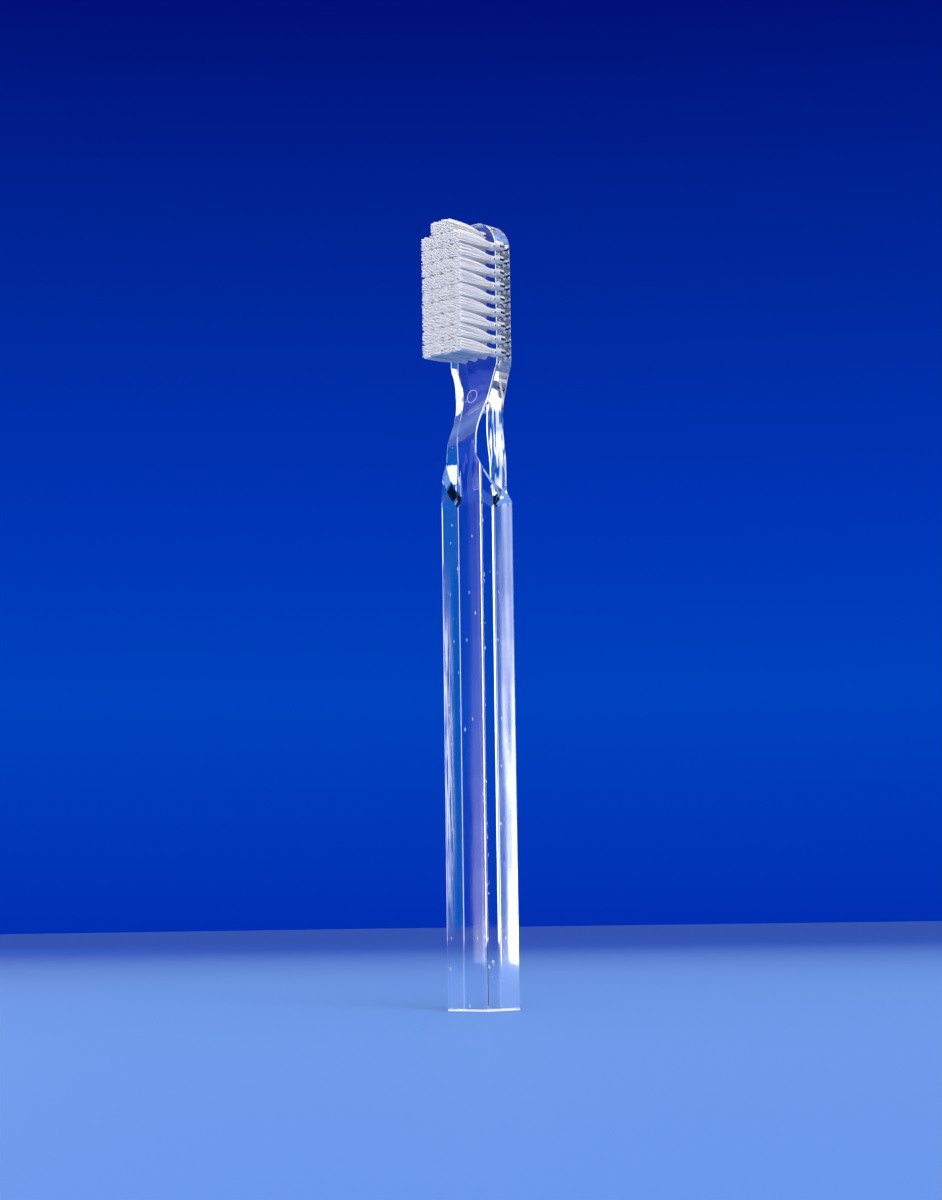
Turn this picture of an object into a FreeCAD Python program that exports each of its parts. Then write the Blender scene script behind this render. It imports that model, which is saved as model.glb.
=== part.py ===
import FreeCAD, Part
import math
import os
import Sketcher
from FreeCAD import Rotation, Vector

# Clear acrylic toothbrush. The handle stands on its flat cut end, +Z runs up the
# handle, X is the width of the head and the bristles face -Y. All sizes are in mm.
sizes = {
    # handle: a square bar with slightly rounded edges
    "total_height": 165.0,
    "handle_width": 11.4,
    "handle_depth": 10.2,
    "handle_edge_radius": 0.65,
    # head plate; its front is measured from the mid plane of the handle
    "head_length": 30.0,
    "head_width": 13.4,
    "head_front": 0.4,
    "head_thickness": 4.6,
    "head_end_radius": 5.9,
    # neck; its lengths are measured down from the lower end of the head, and its sides
    # lie one ledge step in from the sides of the handle
    "ledge_step": 1.05,
    "neck_lap": 4.0,
    "neck_flare_radius": 26.0,
    "shoulder_radius": 4.0,
    "rim_radius": 0.35,
    "front_scoop_length": 31.0,
    "back_scoop_length": 29.8,
    "back_scoop_depth": 1.5,
    "cutter_overrun": 4.0,
    # ledges where the sides of the handle step in to the neck, measured the same way
    "ledge_front_drop": 22.7,
    "ledge_back_drop": 30.6,
    "ledge_sag": 1.44,
    "ledge_rise": 2.2,
    "ledge_overrun": 1.0,
    # tufts and their holes
    "row_count": 10,
    "column_count": 4,
    "last_row_columns": 2,
    "first_row_offset": 1.7,
    "row_pitch": 2.87,
    "column_pitch": 2.8,
    "hole_diameter": 1.8,
    "hole_floor": 1.0,
    "tuft_clearance": 0.04,
    "tuft_length": 9.9,
    "tuft_end_diameter": 2.6,
    # metal anchors
    "anchor_width": 2.1,
    "anchor_thickness": 0.3,
    "anchor_height": 1.3,
}

# The scoop that thins the neck from the front lies askew: it runs out low at the
# left corner of the handle and high at the right one. Each row is a share of the way
# up from the scoop's bottom to the head, then how much of the way in from the
# handle's front to the head's front it has cut at the right and at the left side.
front_scoop_shares = [
    (0.0, -0.22, -0.05),
    (0.065, -0.19, 0.03),
    (0.26, -0.12, 0.145),
    (0.465, 0.0, 0.32),
    (0.57, 0.2, 0.62),
    (0.675, 0.555, 0.81),
    (0.76, 0.84, 0.885),
    (0.855, 0.955, 0.955),
    (1.0, 1.0, 1.0),
]
# The scoop at the back runs straight across. Each row is a share of the way up from
# its bottom to the head, then a share of its greatest depth.
back_scoop_shares = [
    (0.0, 0.0),
    (0.045, 0.25),
    (0.26, 0.4),
    (0.43, 0.77),
    (0.565, 1.0),
    (0.75, 0.77),
]

doc = FreeCAD.newDocument("toothbrush")
sheet = doc.addObject("Spreadsheet::Sheet", "sizes")
for number, (name, value) in enumerate(sizes.items(), start=1):
    sheet.set("A%d" % number, name)
    sheet.set("B%d" % number, str(value))
    sheet.setAlias("B%d" % number, name)
doc.recompute()


def size(name):
    """One value of the sheet, in millimetres."""
    return float(sheet.get(name))


def count(name):
    """One value of the sheet that counts pieces."""
    return int(sheet.get(name))


def add(kind, name, bound, turn=None):
    """Add one object, turn it, and bind its properties to expressions on the sheet."""
    thing = doc.addObject(kind, name)
    if turn:
        thing.Placement.Rotation = turn
    for prop, expression in bound.items():
        thing.setExpression(prop, expression)
    return thing


def feature(name, shape):
    """A shape that only Part's own functions can make, from the sheet's values."""
    thing = doc.addObject("Part::Feature", name)
    thing.Shape = shape
    return thing


def combine(kind, name, base, tool):
    """A cut or a fuse of two objects."""
    thing = doc.addObject(kind, name)
    thing.Base = base
    thing.Tool = tool
    return thing


def group(kind, name, things):
    """A fuse or a compound of several objects."""
    thing = doc.addObject(kind, name)
    if kind == "Part::Compound":
        thing.Links = things
    else:
        thing.Shapes = things
    return thing


# Between neck and head the sides curve out through the flare and back through the
# shoulder, by one angle, so that they run on smoothly. The flare starts where the bar
# of the handle ends.
head_start = "sizes.total_height - sizes.head_length"
neck_side = "(sizes.handle_width / 2 - sizes.ledge_step)"
both_radii = "(sizes.neck_flare_radius + sizes.shoulder_radius)"
turn_cosine = "(1 - (sizes.head_width / 2 - %s) / %s)" % (neck_side, both_radii)
turn_sine = "sqrt(1 - %s * %s)" % (turn_cosine, turn_cosine)
handle_top = "%s - %s * %s" % (head_start, both_radii, turn_sine)

# The bar of the handle, with its long edges rounded.
handle_bar = add("Part::Box", "handle_bar", {
    "Length": "sizes.handle_width",
    "Width": "sizes.handle_depth",
    "Height": handle_top,
    "Placement.Base.x": "-sizes.handle_width / 2",
    "Placement.Base.y": "-sizes.handle_depth / 2"})
doc.recompute()
rounded_bar = doc.addObject("Part::Fillet", "rounded_bar")
rounded_bar.Base = handle_bar
rounded_bar.Edges = [
    (number, size("handle_edge_radius"), size("handle_edge_radius"))
    for number, edge in enumerate(handle_bar.Shape.Edges, start=1)
    if edge.BoundBox.ZLength > size("handle_width")]

# Neck and head seen from the bristle side: straight neck, flare, shoulder, rounded end.
# Each row is a corner of the right half, across and up, and the radius of the arc that
# leads on from it, if any.
outline_half = [
    (neck_side, handle_top + " - sizes.neck_lap", None),
    (neck_side, handle_top, "sizes.neck_flare_radius"),
    ("%s + sizes.neck_flare_radius * (1 - %s)" % (neck_side, turn_cosine),
     "%s - sizes.shoulder_radius * %s" % (head_start, turn_sine), "sizes.shoulder_radius"),
    ("sizes.head_width / 2", head_start, None),
    ("sizes.head_width / 2", "sizes.total_height - sizes.head_end_radius", "sizes.head_end_radius"),
    ("sizes.head_width / 2 - sizes.head_end_radius", "sizes.total_height", None),
]
head_outline = doc.addObject("Sketcher::SketchObject", "head_outline")
head_outline.Placement.Rotation = Rotation(Vector(1, 0, 0), 90)


def value_of(expression):
    return float(head_outline.evalExpression(expression))


def arc_between(a, b, radius, inwards):
    """Arc of the given radius, bowed towards the mid line or away from it."""
    chord = b - a
    sagitta = radius - math.sqrt(radius * radius - chord.Length * chord.Length / 4)
    across = Vector(chord.y, -chord.x, 0).normalize() * sagitta
    middle = (a + b) / 2
    nearer = min((middle + across, middle - across), key=lambda point: abs(point.x))
    farther = max((middle + across, middle - across), key=lambda point: abs(point.x))
    return Part.Arc(a, nearer if inwards else farther, b)


def bind(sketch, constraint, expression):
    """Add a constraint to the sketch and tie its value to the sheet."""
    index = sketch.addConstraint(constraint)
    sketch.setExpression("Constraints[%d]" % index, expression)


def draw_head_outline(sketch):
    """Draw both halves of the outline and bind each corner and radius."""
    corners = [(1,) + row for row in outline_half]
    corners += [(-1,) + row for row in reversed(outline_half)]
    points = [Vector(side * value_of(across), value_of(up), 0) for side, across, up, radius in corners]
    for number, (side, across, up, radius) in enumerate(corners):
        following = (number + 1) % len(corners)
        start, end = points[number], points[following]
        radius = radius if side > 0 else corners[following][3]
        if radius and side * corners[following][0] > 0:
            drawn = arc_between(start, end, value_of(radius), "flare" in radius)
            edge = sketch.addGeometry(drawn, False)
            bind(sketch, Sketcher.Constraint("Radius", edge, value_of(radius)), radius)
        else:
            edge = sketch.addGeometry(Part.LineSegment(start, end), False)
        gaps = [(sketch.getPoint(edge, end) - start).Length for end in (1, 2)]
        near = 1 if gaps[0] < gaps[1] else 2
        origin, corner = (-1, 1), (edge, near)
        ends = origin + corner if side > 0 else corner + origin
        bind(sketch, Sketcher.Constraint("DistanceX", *ends, value_of(across)), across)
        bind(sketch, Sketcher.Constraint("DistanceY", *origin, *corner, value_of(up)), up)
        if number:
            sketch.addConstraint(Sketcher.Constraint("Coincident", edge - 1, far, edge, near))
        else:
            first = near
        far = 3 - near
    sketch.addConstraint(Sketcher.Constraint("Coincident", edge, far, 0, first))


draw_head_outline(head_outline)
head_blank = add("Part::Extrusion", "head_blank", {"LengthFwd": "sizes.handle_depth"})
head_blank.Base = head_outline
head_blank.DirMode = "Normal"
head_blank.Symmetric = True
head_blank.Solid = True

front_face = size("handle_depth") / 2
head_back = size("head_thickness") - size("head_front")
half_neck = value_of(neck_side)
neck_bottom = value_of(handle_top)
head_bottom = value_of(head_start)
overrun = size("cutter_overrun")
reach = size("head_width") / 2 + overrun
cutter_top = size("total_height") + overrun


def scoop_edges(x, places, direction):
    """Edges of a cutter's outline at one x: the scoop, which runs out flush with the
    head, then a box round what it removes."""
    points = [Vector(x, direction * depth, height) for height, depth in places]
    start = (points[1] - points[0]).normalize()
    curve = Part.BSplineCurve()
    curve.interpolate(Points=points, InitialTangent=start, FinalTangent=Vector(0, 0, 1))
    low, high = places[0], places[-1]
    outside = direction * (front_face + overrun)
    corners = [Vector(x, direction * high[1], high[0]), Vector(x, direction * high[1], cutter_top),
               Vector(x, outside, cutter_top), Vector(x, outside, low[0]),
               Vector(x, direction * low[1], low[0])]
    lines = [Part.makeLine(a, b) for a, b in zip(corners, corners[1:])]
    return [curve.toShape()] + lines


def front_places(x):
    """Heights and depths of the front scoop at one x, carried on past the neck's sides."""
    places = []
    for height_share, right_share, left_share in front_scoop_shares:
        cut_share = (right_share + left_share) / 2 + (right_share - left_share) / 2 * x / half_neck
        depth = front_face + cut_share * (size("head_front") - front_face)
        places.append((head_bottom - (1 - height_share) * size("front_scoop_length"), depth))
    return places


def back_places():
    """Heights and depths of the back scoop, up to the back of the head."""
    places = [(head_bottom - (1 - height_share) * size("back_scoop_length"),
               front_face - depth_share * size("back_scoop_depth"))
              for height_share, depth_share in back_scoop_shares]
    return places + [(head_bottom, head_back)]


front_wires = [Part.Wire(scoop_edges(x, front_places(x), -1)) for x in (reach, -reach)]
front_cutter = feature("front_cutter", Part.makeLoft(front_wires, True, True))
back_face = Part.Face(Part.Wire(scoop_edges(-reach, back_places(), 1)))
back_cutter = feature("back_cutter", back_face.extrude(Vector(2 * reach, 0, 0)))


def ledge_wire(x, lift):
    """The tongue that a side cutter leaves on the handle, drawn at one x and lifted."""
    end = front_face + size("ledge_overrun")
    top = neck_bottom
    middle = head_bottom - (size("ledge_front_drop") + size("ledge_back_drop")) / 2 + lift
    slope = (size("ledge_front_drop") - size("ledge_back_drop")) / size("handle_depth")

    def on_arc(y):
        return Vector(x, y, middle + slope * y - size("ledge_sag") * (1 - (y / front_face) ** 2))

    front, back = on_arc(-end), on_arc(end)
    front_top, back_top = Vector(x, -end, top), Vector(x, end, top)
    return Part.Wire([Part.Arc(front, on_arc(0), back).toShape(), Part.makeLine(back, back_top),
                      Part.makeLine(back_top, front_top), Part.makeLine(front_top, front)])


def ledge_cutter(side):
    """Side cutter: its floor is the neck's side, and it slopes out past the handle's face."""
    wires = [ledge_wire(side * half_neck, size("ledge_rise")),
             ledge_wire(side * (half_neck + 2 * size("ledge_step")), -size("ledge_rise"))]
    return Part.makeLoft(wires, True, True)


blank = combine("Part::Fuse", "body_blank", rounded_bar, head_blank)
front_cut = combine("Part::Cut", "front_scoop", blank, front_cutter)
back_cut = combine("Part::Cut", "back_scoop", front_cut, back_cutter)
right_cut = combine("Part::Cut", "right_ledge", back_cut, feature("right_ledge_cutter", ledge_cutter(1)))
left_cut = combine("Part::Cut", "left_ledge", right_cut, feature("left_ledge_cutter", ledge_cutter(-1)))
doc.recompute()


# Tilt of a face towards the front or back: none on a side, and large on a front or back.
upright, facing = 0.02, 0.8
on_neck = half_neck + size("ledge_step") / 2


def is_rim(edge):
    """True for an edge where a side of the neck or head meets its front or back."""
    middle = edge.valueAt((edge.FirstParameter + edge.LastParameter) / 2)
    if middle.z < head_bottom - size("front_scoop_length"):
        return False
    if middle.z < neck_bottom and abs(middle.x) > on_neck:
        return False
    tilts = []
    for face in left_cut.Shape.ancestorsOfType(edge, Part.Face):
        tilts.append(abs(face.normalAt(*face.Surface.parameter(middle)).y))
    return min(tilts) < upright and max(tilts) > facing


rounded_rims = doc.addObject("Part::Fillet", "rounded_rims")
rounded_rims.Base = left_cut
rounded_rims.Edges = [
    (number, size("rim_radius"), size("rim_radius"))
    for number, edge in enumerate(left_cut.Shape.Edges, start=1) if is_rim(edge)]

# Holes, tufts and anchors. A bored thing stands on the hole's floor and points to -Y.
face_y = "-sizes.head_front"
floor_y = "sizes.head_thickness - sizes.head_front - sizes.hole_floor"
hole_depth = "sizes.head_thickness - sizes.hole_floor"
outwards = Rotation(Vector(1, 0, 0), 90)


def tuft_places(row):
    """Places of one row's tufts, as expressions across and up the head."""
    last = row == count("row_count") - 1
    columns = count("last_row_columns" if last else "column_count")
    up = head_start + " + sizes.first_row_offset + %d * sizes.row_pitch" % row
    return [("%.1f * sizes.column_pitch" % (number - (columns - 1) / 2), up) for number in range(columns)]


def bored(kind, name, place, base_y, bound):
    """A round thing on the axis of one hole."""
    across, up = place
    bound.update({"Placement.Base.x": across, "Placement.Base.y": base_y, "Placement.Base.z": up})
    return add(kind, name, bound, outwards)


def anchor_blade(name, place):
    """Metal strip across the foot of a tuft, its ends pressed into the plastic."""
    across, up = place
    return add("Part::Box", name, {
        "Length": "sizes.anchor_width",
        "Width": "sizes.anchor_height",
        "Height": "sizes.anchor_thickness",
        "Placement.Base.x": across + " - sizes.anchor_width / 2",
        "Placement.Base.y": floor_y + " - sizes.anchor_height",
        "Placement.Base.z": up + " - sizes.anchor_thickness / 2"})


all_holes = []
nodes = []
for row in range(count("row_count")):
    blades = []
    bundles = []
    bores = []
    for column, place in enumerate(tuft_places(row)):
        tag = "_%02d_%d" % (row + 1, column + 1)
        blades.append(anchor_blade("blade" + tag, place))
        bundles.append(bored("Part::Cylinder", "root" + tag, place, floor_y, {
            "Radius": "sizes.hole_diameter / 2 - sizes.tuft_clearance",
            "Height": hole_depth}))
        bundles.append(bored("Part::Cone", "spread" + tag, place, face_y, {
            "Radius1": "sizes.hole_diameter / 2 - sizes.tuft_clearance",
            "Radius2": "sizes.tuft_end_diameter / 2",
            "Height": "sizes.tuft_length"}))
        bores.append(bored("Part::Cylinder", "bore" + tag, place, floor_y, {
            "Radius": "sizes.hole_diameter / 2",
            "Height": hole_depth + " + sizes.cutter_overrun"}))
    tag = "_%02d" % (row + 1)
    anchors = group("Part::Compound", "anchors" + tag, blades)
    anchors.Label = "anchor_row" + tag
    tufts = combine("Part::Cut", "tufts" + tag, group("Part::MultiFuse", "bundles" + tag, bundles), anchors)
    tufts.Label = "tuft_row" + tag
    all_holes.append(group("Part::MultiFuse", "holes" + tag, bores + blades))
    nodes += [tufts, anchors]

body = combine("Part::Cut", "body", rounded_rims, group("Part::Compound", "holes", all_holes))
nodes.insert(0, body)
doc.recompute()

for thing in doc.Objects:
    if "Invalid" in thing.State or "Error" in thing.State:
        raise RuntimeError("object %s failed: %s" % (thing.Name, thing.State))
for node in nodes:
    if node.Shape.isNull() or not node.Shape.isValid():
        raise RuntimeError("shape of %s is not valid" % node.Label)
os.makedirs("parts", exist_ok=True)
for node in nodes:
    node.Shape.exportStep("parts/%s.step" % node.Label)
    box = node.Shape.optimalBoundingBox(False)
    print("%-14s solids %d volume %9.2f  x %.2f..%.2f  y %.2f..%.2f  z %.2f..%.2f" % (
        node.Label, len(node.Shape.Solids), node.Shape.Volume,
        box.XMin, box.XMax, box.YMin, box.YMax, box.ZMin, box.ZMax))
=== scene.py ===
import bpy
import math
import random
from mathutils import Matrix, Vector
from mathutils.bvhtree import BVHTree


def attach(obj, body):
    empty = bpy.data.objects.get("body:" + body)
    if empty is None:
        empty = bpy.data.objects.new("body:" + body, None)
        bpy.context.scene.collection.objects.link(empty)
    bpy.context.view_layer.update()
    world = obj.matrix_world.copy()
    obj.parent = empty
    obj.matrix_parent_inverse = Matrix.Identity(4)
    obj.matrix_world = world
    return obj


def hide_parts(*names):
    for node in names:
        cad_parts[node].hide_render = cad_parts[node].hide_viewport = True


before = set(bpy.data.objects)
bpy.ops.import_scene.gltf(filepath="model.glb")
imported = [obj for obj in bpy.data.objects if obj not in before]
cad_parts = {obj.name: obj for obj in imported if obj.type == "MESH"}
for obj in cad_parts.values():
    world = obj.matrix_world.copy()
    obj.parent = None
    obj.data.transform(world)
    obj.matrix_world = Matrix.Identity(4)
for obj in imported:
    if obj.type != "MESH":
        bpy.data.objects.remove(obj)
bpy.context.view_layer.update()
mm = 0.001
print("frame loaded:", len(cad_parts), "nodes")


def toLinear(hexText):  # an sRGB hex colour as the linear values that shaders take
    parts = [int(hexText[place:place + 2], 16) / 255 for place in (1, 3, 5)]
    return [part / 12.92 if part <= 0.04045 else ((part + 0.055) / 1.055) ** 2.4 for part in parts] + [1.0]


def addNode(tree, kind, settings=None, **inputs):  # one node, its settings, then its values and links
    node = tree.nodes.new(kind)
    for name, value in (settings or {}).items():
        setattr(node, name, value)
    for name, value in inputs.items():  # _0 is the first socket, and From_Min the one named From Min
        socket = node.inputs[int(name[1:])] if name[1:].isdigit() else node.inputs[name.replace("_", " ")]
        if isinstance(value, bpy.types.NodeSocket):
            tree.links.new(value, socket)
        else:
            socket.default_value = value
    return node


def newMaterial(name):
    material = bpy.data.materials.new(name)
    material.use_nodes = True
    material.node_tree.nodes.clear()
    return material, material.node_tree


# The camera stands low and looks slightly up at one corner of the handle.
cameraView = {
    "turn": 42.0,        # degrees round the brush from straight in front of the bristles
    "distance": 0.515,   # metres from the handle's middle line
    "height": 0.0173,    # metres above the floor
    "tiltUp": 7.44,      # degrees
    "roll": -0.82,       # degrees
    "lens": 74.7,        # mm
    "sensor": 36,        # mm
    "shiftX": -0.0061,
    "nearest": 0.01,     # metres, and the furthest that it sees
    "furthest": 60,
}


def makeCamera(v):
    data = bpy.data.cameras.new("camera")
    data.sensor_width = v["sensor"]
    data.lens = v["lens"]
    data.shift_x = v["shiftX"]
    data.clip_start = v["nearest"]
    data.clip_end = v["furthest"]
    camera = bpy.data.objects.new("camera", data)
    bpy.context.scene.collection.objects.link(camera)
    turn = math.radians(v["turn"])
    camera.matrix_world = (
        Matrix.Translation((math.sin(turn) * v["distance"], -math.cos(turn) * v["distance"], v["height"]))
        @ Matrix.Rotation(turn, 4, "Z")
        @ Matrix.Rotation(math.radians(90 + v["tiltUp"]), 4, "X")
        @ Matrix.Rotation(math.radians(v["roll"]), 4, "Z"))
    bpy.context.scene.camera = camera
    bpy.context.scene.view_settings.view_transform = "Standard"


makeCamera(cameraView)
print("camera set")

# Where the tufts stand, and the straight part of the handle. A pair such as (104, 110)
# says where something sets in and where it is full.
row = {
    "count": 10,
    "columns": 4,
    "lastColumns": 2,
    "firstHeight": 136.7 * mm,
    "pitch": 2.87 * mm,
    "columnPitch": 2.8 * mm,
    "halfRow": 5.5 * mm,         # from the middle to the outside of the widest tuft ends
    "faceY": -0.4 * mm,          # front of the head plate
    "floorY": 3.2 * mm,          # bottom of the holes
    "tipY": -10.235 * mm,
    "rootRadius": 0.86 * mm,
}
handle = {
    "halfWidth": 5.7 * mm,
    "halfDepth": 5.1 * mm,
    "end": (120 * mm, 114 * mm),  # where its nicks and chips stop
}

# Clear acrylic (PMMA), injection moulded against a polished tool: mirror smooth and
# colourless, its flats very slightly wavy from shrinkage, so that the bands of light in
# the handle run soft and uneven, and more rippled where the neck is scooped. Use has
# scuffed it: fine lines along the handle's left edge, chips along its near edge and a few
# short nicks, all catching white light. The sawn end that it stands on is matte.
acrylic = {
    "tint": "#fbfdff",
    "ior": 1.49,
    "roughness": 0.03,
    "waveSize": (7 * mm, 30 * mm),         # across and along the handle
    "waveHeight": 0.009 * mm,
    "rippleSize": (2.6 * mm, 6 * mm),
    "rippleHeight": 0.05 * mm,
    "rippleStart": (104 * mm, 110 * mm),
    "rippleEnd": (130 * mm, 122 * mm),
    "scuffLine": (0.24 * mm, 9 * mm),      # drawn coarser than real ones to show
    "scuffLineShare": (0.38, 0.56),
    "scuffPatch": (2.2 * mm, 14 * mm),
    "scuffPatchShare": (0.2, 0.5),
    "scuffReach": 3.6 * mm,                # how far the scuffs reach from the left edge
    "scuffDepth": 0.6 * mm,                # and how far back they go round that edge
    "scuffStart": (12 * mm, 37 * mm),
    "scuffEnd": (96 * mm, 66 * mm),
    "nickSpacing": (1.7 * mm, 5.95 * mm),
    "nickSize": (0.08, 0.045),             # as a share of their spacing
    "chipSize": (0.5 * mm, 1.3 * mm),
    "chipShare": (0.66, 0.7),
    "chipReach": (0.95 * mm, 0.6 * mm),    # from the near edge
    "sawnEnd": (0.28 * mm, 0.1 * mm),
    "wornTone": "#eceef0",
    "wornClearness": 0.85,                 # how much of the clearness a mark takes away
    "wornRoughness": 0.4,
}

# The walls of the holes are matte down to the anchors, as the nylon is rammed against them.
holeWalls = {
    "bottom": (135.6 * mm, 135.8 * mm),
    "front": (-0.36 * mm, -0.3 * mm),
    "halfWidth": 5.3 * mm,
    "narrowing": 2.6 * mm,                 # how much less that is at the last row
    "lastRow": (160.8 * mm, 161.4 * mm),
    "depth": 3.3 * mm,
    "anchorDepth": 1.8 * mm,               # how deep they are matte in the plane of the anchors
    "anchorHalf": 0.25 * mm,               # half the thickness of that plane
}


def makeClearAcrylic(v, w, h, r):
    material, tree = newMaterial("clearAcrylicMoulded")
    place = addNode(tree, "ShaderNodeTexCoord").outputs["Object"]
    axes = addNode(tree, "ShaderNodeSeparateXYZ", _0=place).outputs

    # noise in the sizes above, one for each kind of mark
    noise = {}
    for name, size, detail, rough in (
            ("waves", v["waveSize"], 1.0, 0.5),
            ("ripples", v["rippleSize"], 1.0, 0.5),
            ("scuffLines", v["scuffLine"], 2.0, 0.6),
            ("scuffPatches", v["scuffPatch"], 2.0, 0.5),
            ("bites", v["chipSize"], 2.0, 0.5)):
        sized = addNode(tree, "ShaderNodeMapping", Vector=place, Scale=(1 / size[0], 1 / size[0], 1 / size[1]))
        noise[name] = addNode(tree, "ShaderNodeTexNoise", Vector=sized.outputs[0], Scale=1.0, Detail=detail,
                              Roughness=rough).outputs["Fac"]
    across, along = v["nickSpacing"]
    spaced = addNode(tree, "ShaderNodeMapping", Vector=place, Scale=(1 / across, 1 / across, 1 / along))
    dashes = addNode(tree, "ShaderNodeTexVoronoi", {"feature": "F1"}, Vector=spaced.outputs[0], Scale=1.0,
                     Randomness=1.0).outputs["Distance"]
    toNearEdge = addNode(tree, "ShaderNodeMath", {"operation": "SUBTRACT"}, _0=axes["X"],
                         _1=axes["Y"]).outputs[0]
    corner = h["halfWidth"] + h["halfDepth"]

    # each share is 0 where it sets in and 1 where it is full
    share = {}
    for name, value, (start, full) in (
            ("rippleStart", axes["Z"], v["rippleStart"]),
            ("rippleEnd", axes["Z"], v["rippleEnd"]),
            ("lines", noise["scuffLines"], v["scuffLineShare"]),
            ("patches", noise["scuffPatches"], v["scuffPatchShare"]),
            ("nearLeft", axes["X"], (v["scuffReach"] - h["halfWidth"], -h["halfWidth"])),
            ("onFront", axes["Y"], (v["scuffDepth"] - h["halfDepth"], -h["halfDepth"])),
            ("scuffStart", axes["Z"], v["scuffStart"]),
            ("scuffEnd", axes["Z"], v["scuffEnd"]),
            ("dashes", dashes, v["nickSize"]),
            ("onHandle", axes["Z"], h["end"]),
            ("bites", noise["bites"], v["chipShare"]),
            ("nearEdge", toNearEdge, (corner - v["chipReach"][0], corner - v["chipReach"][1])),
            ("sawn", axes["Z"], v["sawnEnd"]),
            ("lastRow", axes["Z"], w["lastRow"]),
            ("behindFace", axes["Y"], w["front"]),
            ("aboveNeck", axes["Z"], w["bottom"])):
        share[name] = addNode(tree, "ShaderNodeMapRange", {"interpolation_type": "SMOOTHSTEP"}, Value=value,
                              From_Min=start, From_Max=full).outputs["Result"]

    # inside the holes: not too far out, and no deeper than the anchors in their plane
    side = addNode(tree, "ShaderNodeMath", {"operation": "ABSOLUTE"}, _0=axes["X"]).outputs[0]
    reach = addNode(tree, "ShaderNodeMath", {"operation": "MULTIPLY_ADD"}, _0=-w["narrowing"],
                    _1=share["lastRow"], _2=w["halfWidth"]).outputs[0]
    share["within"] = addNode(tree, "ShaderNodeMath", {"operation": "LESS_THAN"}, _0=side, _1=reach).outputs[0]
    fromRow = addNode(tree, "ShaderNodeMath", {"operation": "WRAP"}, _0=axes["Z"],
                      _1=r["firstHeight"] + r["pitch"] / 2, _2=r["firstHeight"] - r["pitch"] / 2).outputs[0]
    atAnchor = addNode(tree, "ShaderNodeMath", {"operation": "COMPARE"}, _0=fromRow, _1=r["firstHeight"],
                       _2=w["anchorHalf"]).outputs[0]
    deepest = addNode(tree, "ShaderNodeMath", {"operation": "MULTIPLY_ADD"}, _0=atAnchor,
                      _1=w["anchorDepth"] - w["depth"], _2=w["depth"]).outputs[0]
    share["shallow"] = addNode(tree, "ShaderNodeMath", {"operation": "LESS_THAN"}, _0=axes["Y"],
                               _1=deepest).outputs[0]

    # a mark lies where all of its shares meet, and the surface is worn where any mark lies
    for name, operation, parts in (
            ("scooped", "MULTIPLY", ("rippleStart", "rippleEnd")),
            ("scuffs", "MULTIPLY", ("nearLeft", "onFront", "scuffStart", "scuffEnd", "lines", "patches")),
            ("nicks", "MULTIPLY", ("dashes", "onHandle")),
            ("chips", "MULTIPLY", ("bites", "nearEdge", "onHandle")),
            ("holes", "MULTIPLY", ("within", "behindFace", "shallow", "aboveNeck")),
            ("worn", "MAXIMUM", ("scuffs", "nicks", "chips", "holes", "sawn"))):
        share[name] = share[parts[0]]
        for part in parts[1:]:
            share[name] = addNode(tree, "ShaderNodeMath", {"operation": operation}, _0=share[name],
                                  _1=share[part]).outputs[0]

    wavy = addNode(tree, "ShaderNodeBump", Strength=1.0, Distance=v["waveHeight"], Height=noise["waves"])
    rippled = addNode(tree, "ShaderNodeBump", Strength=share["scooped"], Distance=v["rippleHeight"],
                      Height=noise["ripples"], Normal=wavy.outputs["Normal"])
    clear = addNode(tree, "ShaderNodeMath", {"operation": "MULTIPLY_ADD"}, _0=share["worn"],
                    _1=-v["wornClearness"], _2=1.0)
    dull = addNode(tree, "ShaderNodeMath", {"operation": "MULTIPLY_ADD"}, _0=share["worn"],
                   _1=v["wornRoughness"], _2=v["roughness"])
    tone = addNode(tree, "ShaderNodeMix", {"data_type": "RGBA"}, _0=share["worn"], _6=toLinear(v["tint"]),
                   _7=toLinear(v["wornTone"]))
    shader = addNode(tree, "ShaderNodeBsdfPrincipled", Base_Color=tone.outputs[2], IOR=v["ior"],
                     Transmission_Weight=clear.outputs[0], Roughness=dull.outputs[0],
                     Normal=rippled.outputs["Normal"])
    addNode(tree, "ShaderNodeOutputMaterial", Surface=shader.outputs[0])
    return material


# Nylon 6.12 monofilament, extruded and cut: milky white with a soft gloss. Light passes
# from one filament into the next, so that a tuft glows evenly instead of going dark
# between them.
nylon = {
    "colour": "#fbfafa",
    "shade": "#f3f2f2",
    "ior": 1.53,
    "roughness": 0.4,
    "milkSize": (0.4 * mm, 3 * mm, 0.4 * mm),   # the cloudiness runs along a filament
    "passing": 0.45,                            # share of the light that goes on through one
}


def makeNylon(v):
    material, tree = newMaterial("bristleNylonExtruded")
    place = addNode(tree, "ShaderNodeTexCoord").outputs["Object"]
    sized = addNode(tree, "ShaderNodeMapping", Vector=place, Scale=[1 / size for size in v["milkSize"]])
    milk = addNode(tree, "ShaderNodeTexNoise", Vector=sized.outputs[0], Scale=1.0, Detail=3.0)
    tone = addNode(tree, "ShaderNodeMix", {"data_type": "RGBA"}, _0=milk.outputs["Fac"],
                   _6=toLinear(v["shade"]), _7=toLinear(v["colour"])).outputs[2]
    surface = addNode(tree, "ShaderNodeBsdfPrincipled", Base_Color=tone, IOR=v["ior"], Roughness=v["roughness"])
    through = addNode(tree, "ShaderNodeBsdfTranslucent", Color=tone)
    shader = addNode(tree, "ShaderNodeMixShader", _0=v["passing"], _1=surface.outputs[0], _2=through.outputs[0])
    addNode(tree, "ShaderNodeOutputMaterial", Surface=shader.outputs[0])
    return material


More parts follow.
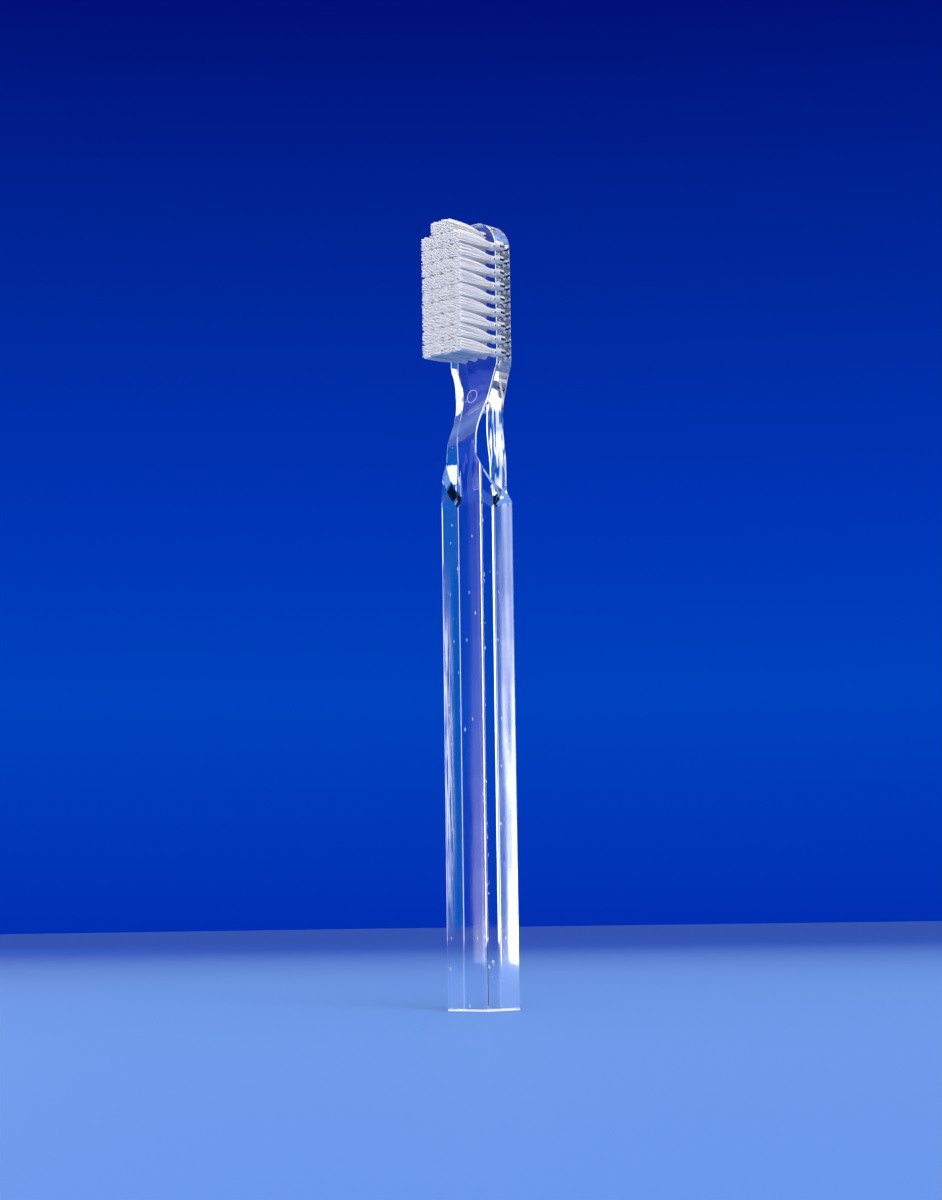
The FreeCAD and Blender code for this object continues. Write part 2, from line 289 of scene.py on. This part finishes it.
# Nickel silver strip, rolled along its length and chopped: a warm grey metal with fine
# rolling lines, dulled and browned in patches by years of damp.
anchorMetal = {
    "colour": "#a39c8c",
    "tarnish": "#6a5f50",
    "roughness": 0.34,
    "tarnishRoughness": 0.25,              # added where it is tarnished
    "lineSize": (1.2 * mm, 0.06 * mm, 0.06 * mm),
    "lineHeight": 0.01 * mm,
    "lineStrength": 0.4,
    "patch": 1.8 * mm,
    "patchShare": (0.38, 0.58),
}


def makeAnchorMetal(v):
    material, tree = newMaterial("nickelSilverRolled")
    place = addNode(tree, "ShaderNodeTexCoord").outputs["Object"]
    drawn = addNode(tree, "ShaderNodeMapping", Vector=place, Scale=[1 / size for size in v["lineSize"]])
    lines = addNode(tree, "ShaderNodeTexNoise", Vector=drawn.outputs[0], Scale=1.0, Detail=2.0)
    sized = addNode(tree, "ShaderNodeMapping", Vector=place, Scale=[1 / v["patch"]] * 3)
    patches = addNode(tree, "ShaderNodeTexNoise", Vector=sized.outputs[0], Scale=1.0, Detail=3.0)
    tarnish = addNode(tree, "ShaderNodeMapRange", {"interpolation_type": "SMOOTHSTEP"},
                      Value=patches.outputs["Fac"], From_Min=v["patchShare"][0], From_Max=v["patchShare"][1])
    tone = addNode(tree, "ShaderNodeMix", {"data_type": "RGBA"}, _0=tarnish.outputs["Result"],
                   _6=toLinear(v["colour"]), _7=toLinear(v["tarnish"]))
    dull = addNode(tree, "ShaderNodeMath", {"operation": "MULTIPLY_ADD"}, _0=tarnish.outputs["Result"],
                   _1=v["tarnishRoughness"], _2=v["roughness"])
    rolled = addNode(tree, "ShaderNodeBump", Strength=v["lineStrength"], Distance=v["lineHeight"],
                     Height=lines.outputs["Fac"])
    shader = addNode(tree, "ShaderNodeBsdfPrincipled", Base_Color=tone.outputs[2], Metallic=1.0,
                     Roughness=dull.outputs[0], Normal=rolled.outputs["Normal"])
    addNode(tree, "ShaderNodeOutputMaterial", Surface=shader.outputs[0])
    return material


# The same acrylic where an ejector pin marked it: it scatters light and looks frosted.
frostedAcrylic = {
    "colour": "#e6ecf4",
    "ior": 1.49,
    "roughness": 0.35,
    "clearness": 0.65,       # at its clearest, and how much the grain takes from that
    "grainTakes": 0.4,
    "grain": 0.15 * mm,
}


def makeFrostedAcrylic(v):
    material, tree = newMaterial("frostedAcrylicEdge")
    place = addNode(tree, "ShaderNodeTexCoord").outputs["Object"]
    sized = addNode(tree, "ShaderNodeMapping", Vector=place, Scale=[1 / v["grain"]] * 3)
    grain = addNode(tree, "ShaderNodeTexNoise", Vector=sized.outputs[0], Scale=1.0, Detail=2.0)
    clear = addNode(tree, "ShaderNodeMath", {"operation": "MULTIPLY_ADD"}, _0=grain.outputs["Fac"],
                    _1=-v["grainTakes"], _2=v["clearness"])
    shader = addNode(tree, "ShaderNodeBsdfPrincipled", Base_Color=toLinear(v["colour"]), IOR=v["ior"],
                     Roughness=v["roughness"], Transmission_Weight=clear.outputs[0])
    addNode(tree, "ShaderNodeOutputMaterial", Surface=shader.outputs[0])
    return material


clearMaterial = makeClearAcrylic(acrylic, holeWalls, handle, row)
frostedMaterial = makeFrostedAcrylic(frostedAcrylic)
nylonMaterial = makeNylon(nylon)
anchorMaterial = makeAnchorMetal(anchorMetal)
for name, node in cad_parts.items():
    node.data.materials.clear()
    if name == "body":
        node.data.materials.append(clearMaterial)
    elif name.startswith("anchor_row"):
        node.data.materials.append(anchorMaterial)
    else:
        node.data.materials.append(nylonMaterial)
print("materials made")


def addPiece(name, vertices, faces, material):
    mesh = bpy.data.meshes.new(name)
    mesh.from_pydata(vertices, [], faces)
    mesh.shade_smooth()
    mesh.materials.append(material)
    piece = bpy.data.objects.new(name, mesh)
    bpy.context.scene.collection.objects.link(piece)
    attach(piece, "root")
    return piece


# The ring that an ejector pin leaves on the front of the neck, standing just proud of it.
ejectorRing = {
    "height": 127.7 * mm,
    "radius": 1.35 * mm,
    "thick": 0.055 * mm,
    "around": 72,
    "sides": 8,
    "lookFrom": 50 * mm,     # how far in front of the brush its place is looked up from
}


def makeEjectorRing(v):  # follows the scooped front of the neck all the way round
    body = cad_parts["body"]
    mesh = body.data
    surface = BVHTree.FromPolygons([body.matrix_world @ point.co for point in mesh.vertices],
                                   [tuple(face.vertices) for face in mesh.polygons])
    vertices, faces = [], []
    for step in range(v["around"]):
        angle = math.tau * step / v["around"]
        outward = Vector((math.cos(angle), 0, math.sin(angle)))
        start = Vector((0, -v["lookFrom"], v["height"])) + outward * v["radius"]
        hit, normal = surface.ray_cast(start, Vector((0, 1, 0)))[:2]
        for side in range(v["sides"]):
            turn = math.tau * side / v["sides"]
            vertices.append(hit + (outward * math.cos(turn) + normal * math.sin(turn)) * v["thick"])
    total = v["around"] * v["sides"]
    for step in range(v["around"]):
        a = step * v["sides"]
        b = (a + v["sides"]) % total
        for side in range(v["sides"]):
            following = (side + 1) % v["sides"]
            faces.append((a + side, b + side, b + following, a + following))
    ring = addPiece("ejector_ring", vertices, faces, frostedMaterial)


# A small air bubble caught low in the handle.
airBubble = {
    "place": (4.4 * mm, -2.6 * mm, 9.8 * mm),
    "size": (0.34 * mm, 0.34 * mm, 0.6 * mm),
    "around": 28,
    "rings": 14,
}


def makeBubble(v):  # its faces look inwards, as the acrylic lies outside it
    vertices, faces = [], []
    for ring in range(v["rings"] + 1):
        down = math.pi * ring / v["rings"]
        for step in range(v["around"]):
            angle = math.tau * step / v["around"]
            vertices.append((v["place"][0] + v["size"][0] * math.sin(down) * math.cos(angle),
                             v["place"][1] + v["size"][1] * math.sin(down) * math.sin(angle),
                             v["place"][2] + v["size"][2] * math.cos(down)))
    for ring in range(v["rings"]):
        a = ring * v["around"]
        b = a + v["around"]
        for step in range(v["around"]):
            following = (step + 1) % v["around"]
            faces.append((a + step, a + following, b + following, b + step))
    bubble = addPiece("air_bubble", vertices, faces, clearMaterial)


makeEjectorRing(ejectorRing)
makeBubble(airBubble)
print("ejector ring and bubble made")

# Every tuft: a bundle of filaments that stands in its hole and fans out to its trimmed end.
tufts = {
    "filaments": 100,
    "filamentDiameter": 0.22 * mm,   # a little thicker than real ones, to show
    "sides": 6,
    "rings": 9,
    "aboveFloor": 1.2 * mm,    # how far in front of the hole's bottom the filaments start
    "rootFill": 0.88,          # share of the hole's radius that the bundle fills
    "endRadius": 1.36 * mm,
    "lastRadius": 1.22 * mm,   # for the filaments on the outside of the brush
    "squareness": 0.9,         # 0 leaves a tuft's end round, 1 makes it square
    "shake": 0.25,             # how far a filament strays from its even place
    "tipShift": 0.03 * mm,
    "bend": 0.07 * mm,
    "fanning": 3.0,            # 1 fans evenly, more fans out close to the head
    "trimUneven": 0.04 * mm,
    "rounding": 0.55,          # share of a filament's radius that its polished end takes off
    "seed": 7,
}


def discPlaces(number, shakeShare, chance):  # even spread over a disc of radius 1, a little shaken
    golden = math.pi * (3 - math.sqrt(5))
    shake = shakeShare / math.sqrt(number)
    places = []
    for index in range(number):
        radius = math.sqrt((index + 0.5) / number)
        angle = index * golden
        places.append((radius * math.cos(angle) + chance.uniform(-shake, shake),
                       radius * math.sin(angle) + chance.uniform(-shake, shake)))
    return places


def addFilament(vertices, faces, path, t, chance):
    radius, sides = t["filamentDiameter"] / 2, t["sides"]
    turn = chance.uniform(0, math.tau)
    start = len(vertices)
    rings = [(point, radius) for point in path]
    rings.append((path[-1] - Vector((0, t["rounding"] * radius, 0)), t["rounding"] * radius))  # rounded end
    for point, wide in rings:
        for side in range(sides):
            angle = turn + math.tau * side / sides
            vertices.append((point.x + wide * math.cos(angle), point.y, point.z + wide * math.sin(angle)))
    for ring in range(len(rings) - 1):
        a = start + ring * sides
        b = a + sides
        for side in range(sides):
            following = (side + 1) % sides
            faces.append((a + side, a + following, b + following, b + side))
    last = start + (len(rings) - 1) * sides
    faces.append(tuple(last + side for side in range(sides)))
    faces.append(tuple(start + side for side in reversed(range(sides))))


def makeTuftRow(number, t, r):
    chance = random.Random(t["seed"] * 100 + number)
    columns = r["lastColumns"] if number == r["count"] - 1 else r["columns"]
    height = r["firstHeight"] + number * r["pitch"]
    rootRadius = t["rootFill"] * r["rootRadius"]
    rootY = r["floorY"] - t["aboveFloor"]
    vertices, faces = [], []
    for column in range(columns):
        across = (column - (columns - 1) / 2) * r["columnPitch"]
        tipShift = Vector((chance.uniform(-1, 1), 0, chance.uniform(-1, 1))) * t["tipShift"]
        for u, w in discPlaces(t["filaments"], t["shake"], chance):
            root = Vector((across + u * rootRadius, 0, height + w * rootRadius))
            wide = t["endRadius"]  # the outermost filaments spread less
            if abs(across + u * wide) > r["halfRow"] - wide + t["lastRadius"]:
                wide = t["lastRadius"]
            squarer = (math.hypot(u, w) / max(abs(u), abs(w), 1e-6)) ** t["squareness"]
            tip = Vector((across + u * wide * squarer, 0, height + w * t["endRadius"] * squarer)) + tipShift
            bend = Vector((chance.gauss(0, 1), 0, chance.gauss(0, 1))) * t["bend"]
            tipY = r["tipY"] + abs(chance.gauss(0, 1)) * t["trimUneven"]
            path = []
            for ring in range(t["rings"]):
                y = rootY + (tipY - rootY) * ring / (t["rings"] - 1)
                free = max(0.0, (r["faceY"] - y) / (r["faceY"] - r["tipY"]))
                point = root.lerp(tip, 1 - (1 - free) ** t["fanning"]) + bend * free * free
                path.append(Vector((point.x, y, point.z)))
            addFilament(vertices, faces, path, t, chance)
    piece = addPiece("filaments_row_%02d" % (number + 1), vertices, faces, nylonMaterial)
    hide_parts("tuft_row_%02d" % (number + 1))


for number in range(row["count"]):
    makeTuftRow(number, tufts, row)
print("tufts made")

# A pale floor, painted lighter round the brush as a painted pool of light and darker further out, and a plain
# deep backdrop.
studio = {
    "floorSize": 30.0,                  # metres
    "floorBelow": 0.05 * mm,            # the floor lies this far under the brush
    "floorColour": "#4e79c0",
    "paintedFarShade": "#0040a6",             # painted shade: the flat floor further from the brush, painted darker towards the backdrop's blue
    "farFrom": 0.1,                     # metres from the brush
    "farTo": 1.6,
    "floorRoughness": 0.6,
    "floorGloss": 0.1,
    "backdropColours": [                # height on the backdrop, as the sine of its angle, and colour
        (0.0, "#012fb4"),
        (0.09, "#0042bf"),
        (0.17, "#0034b4"),
        (0.372, "#000a72"),
        (0.43, "#c9ccd0"),              # above the picture the pale ceiling starts
        (1.0, "#dcdbd8"),
    ],
    "sideColour": "#0055bc",            # the sheet to the sides, seen only in the acrylic
    "sideShare": (0.9, 0.3),            # cosines of the angle from the picture's direction
    "sideTop": (0.43, 0.3),             # below the ceiling
    "fillColour": "#fbf7f0",            # what lights the brush and the floor from all round
    "fillStrength": 1.0,
}


def makeFloor(v):
    material, tree = newMaterial("floorMattePaper")
    place = addNode(tree, "ShaderNodeTexCoord").outputs["Object"]
    away = addNode(tree, "ShaderNodeVectorMath", {"operation": "LENGTH"}, _0=place)
    # painted pool of light: the floor is pale near the brush and painted darker with distance from it
    far = addNode(tree, "ShaderNodeMapRange", {"interpolation_type": "SMOOTHSTEP"}, Value=away.outputs["Value"],
                  From_Min=v["farFrom"], From_Max=v["farTo"])
    tone = addNode(tree, "ShaderNodeMix", {"data_type": "RGBA"}, _0=far.outputs["Result"],
                   _6=toLinear(v["floorColour"]), _7=toLinear(v["paintedFarShade"]))
    shader = addNode(tree, "ShaderNodeBsdfPrincipled", Base_Color=tone.outputs[2],
                     Roughness=v["floorRoughness"], Specular_IOR_Level=v["floorGloss"])
    addNode(tree, "ShaderNodeOutputMaterial", Surface=shader.outputs[0])
    half = v["floorSize"] / 2
    mesh = bpy.data.meshes.new("floor")
    corners = [(-half, -half, 0), (half, -half, 0), (half, half, 0), (-half, half, 0)]
    mesh.from_pydata(corners, [], [(0, 1, 2, 3)])
    mesh.materials.append(material)
    floor = bpy.data.objects.new("floor", mesh)
    bpy.context.scene.collection.objects.link(floor)
    floor.location.z = -v["floorBelow"]


def makeWorld(v):
    world = bpy.data.worlds.new("studio")
    bpy.context.scene.world = world
    world.use_nodes = True
    tree = world.node_tree
    tree.nodes.clear()

    # the backdrop is seen directly, in gloss and through the acrylic, but not by matte surfaces
    rays = addNode(tree, "ShaderNodeLightPath").outputs
    direct = addNode(tree, "ShaderNodeMath", {"operation": "MAXIMUM"}, _0=rays["Is Camera Ray"],
                     _1=rays["Is Glossy Ray"])
    either = addNode(tree, "ShaderNodeMath", {"operation": "MAXIMUM"}, _0=direct.outputs[0],
                     _1=rays["Is Transmission Ray"])
    seen = addNode(tree, "ShaderNodeMath", {"operation": "SUBTRACT", "use_clamp": True}, _0=either.outputs[0],
                   _1=rays["Diffuse Depth"])

    towards = addNode(tree, "ShaderNodeTexCoord").outputs["Generated"]
    height = addNode(tree, "ShaderNodeSeparateXYZ", _0=towards).outputs["Z"]
    heights = addNode(tree, "ShaderNodeValToRGB", _0=height)
    stops = heights.color_ramp.elements
    while len(stops) < len(v["backdropColours"]):
        stops.new(1.0)
    for stop, (place, colour) in zip(stops, v["backdropColours"]):
        stop.position = place
        stop.color = toLinear(colour)

    forward = math.radians(cameraView["turn"])
    ahead = addNode(tree, "ShaderNodeVectorMath", {"operation": "DOT_PRODUCT"}, _0=towards,
                    _1=(-math.sin(forward), math.cos(forward), 0))
    aside = addNode(tree, "ShaderNodeMapRange", {"interpolation_type": "SMOOTHSTEP"},
                    Value=ahead.outputs["Value"], From_Min=v["sideShare"][0], From_Max=v["sideShare"][1])
    below = addNode(tree, "ShaderNodeMapRange", {"interpolation_type": "SMOOTHSTEP"}, Value=height,
                    From_Min=v["sideTop"][0], From_Max=v["sideTop"][1])
    both = addNode(tree, "ShaderNodeMath", {"operation": "MULTIPLY"}, _0=aside.outputs["Result"],
                   _1=below.outputs["Result"])
    sheet = addNode(tree, "ShaderNodeMix", {"data_type": "RGBA"}, _0=both.outputs[0],
                    _6=heights.outputs["Color"], _7=toLinear(v["sideColour"]))

    fill = addNode(tree, "ShaderNodeBackground", Color=toLinear(v["fillColour"]), Strength=v["fillStrength"])
    backdrop = addNode(tree, "ShaderNodeBackground", Color=sheet.outputs[2], Strength=1.0)
    mixed = addNode(tree, "ShaderNodeMixShader", _0=seen.outputs[0], _1=fill.outputs[0], _2=backdrop.outputs[0])
    addNode(tree, "ShaderNodeOutputWorld", Surface=mixed.outputs[0])


# Softboxes, each by its turn round the brush from the camera's side in degrees, its
# distance and lower and upper edge in metres, its width in degrees, its brightness at its
# lower and at its upper edge, where 1 is white, and how many strips fade between those.
softboxes = {
    "softboxLeft": {"turn": -61.78, "distance": 0.6, "low": 0.0, "high": 0.215, "spread": 44,
                    "bright": (4.2, 0.6), "strips": 10},
    "softboxLeftHigh": {"turn": -61.78, "distance": 0.6, "low": 0.215, "high": 0.72, "spread": 44,
                        "bright": (0.8, 1.3), "strips": 6},
    "softboxRight": {"turn": 107.5, "distance": 0.6, "low": 0.18, "high": 0.7, "spread": 21,
                     "bright": (1.1, 1.1), "strips": 1},
    "softboxFront": {"turn": 4, "distance": 0.9, "low": 0.6, "high": 1.2, "spread": 60,
                     "bright": (5.2, 5.2), "strips": 1},
    "rimLeft": {"turn": 219, "distance": 2.0, "low": 0.0, "high": 0.8, "spread": 42,
                "bright": (1.8, 1.2), "strips": 1},
    "rimRight": {"turn": 133, "distance": 2.0, "low": 0.0, "high": 0.8, "spread": 26,
                 "bright": (1.4, 1.0), "strips": 1},
}


def addSoftbox(name, box):
    angle = math.radians(cameraView["turn"] + box["turn"])
    width = 2 * box["distance"] * math.tan(math.radians(box["spread"] / 2))
    tall = (box["high"] - box["low"]) / box["strips"]
    for strip in range(box["strips"]):
        share = strip / max(box["strips"] - 1, 1)
        bright = box["bright"][0] * (box["bright"][1] / box["bright"][0]) ** share
        light = bpy.data.lights.new("%s_%02d" % (name, strip + 1), "AREA")
        light.shape = "RECTANGLE"
        light.size = width
        light.size_y = tall
        light.energy = bright * math.pi * width * tall
        lamp = bpy.data.objects.new(light.name, light)
        bpy.context.scene.collection.objects.link(lamp)
        lamp.matrix_world = (Matrix.Rotation(angle, 4, "Z")
                             @ Matrix.Translation((0, -box["distance"], box["low"] + (strip + 0.5) * tall))
                             @ Matrix.Rotation(math.radians(90), 4, "X"))


# One large high source lights the floor and the tufts evenly.
overhead = {"turn": 20, "fromTop": 52, "wide": 40, "strength": 1.65}


def addOverhead(v):
    light = bpy.data.lights.new("overheadSoft", "SUN")
    light.energy = v["strength"]
    light.angle = math.radians(v["wide"])
    lamp = bpy.data.objects.new("overheadSoft", light)
    bpy.context.scene.collection.objects.link(lamp)
    lamp.matrix_world = (Matrix.Rotation(math.radians(cameraView["turn"] + v["turn"]), 4, "Z")
                         @ Matrix.Rotation(math.radians(v["fromTop"]), 4, "X"))


makeFloor(studio)
makeWorld(studio)
for name, box in softboxes.items():
    addSoftbox(name, box)
addOverhead(overhead)
print("studio made")
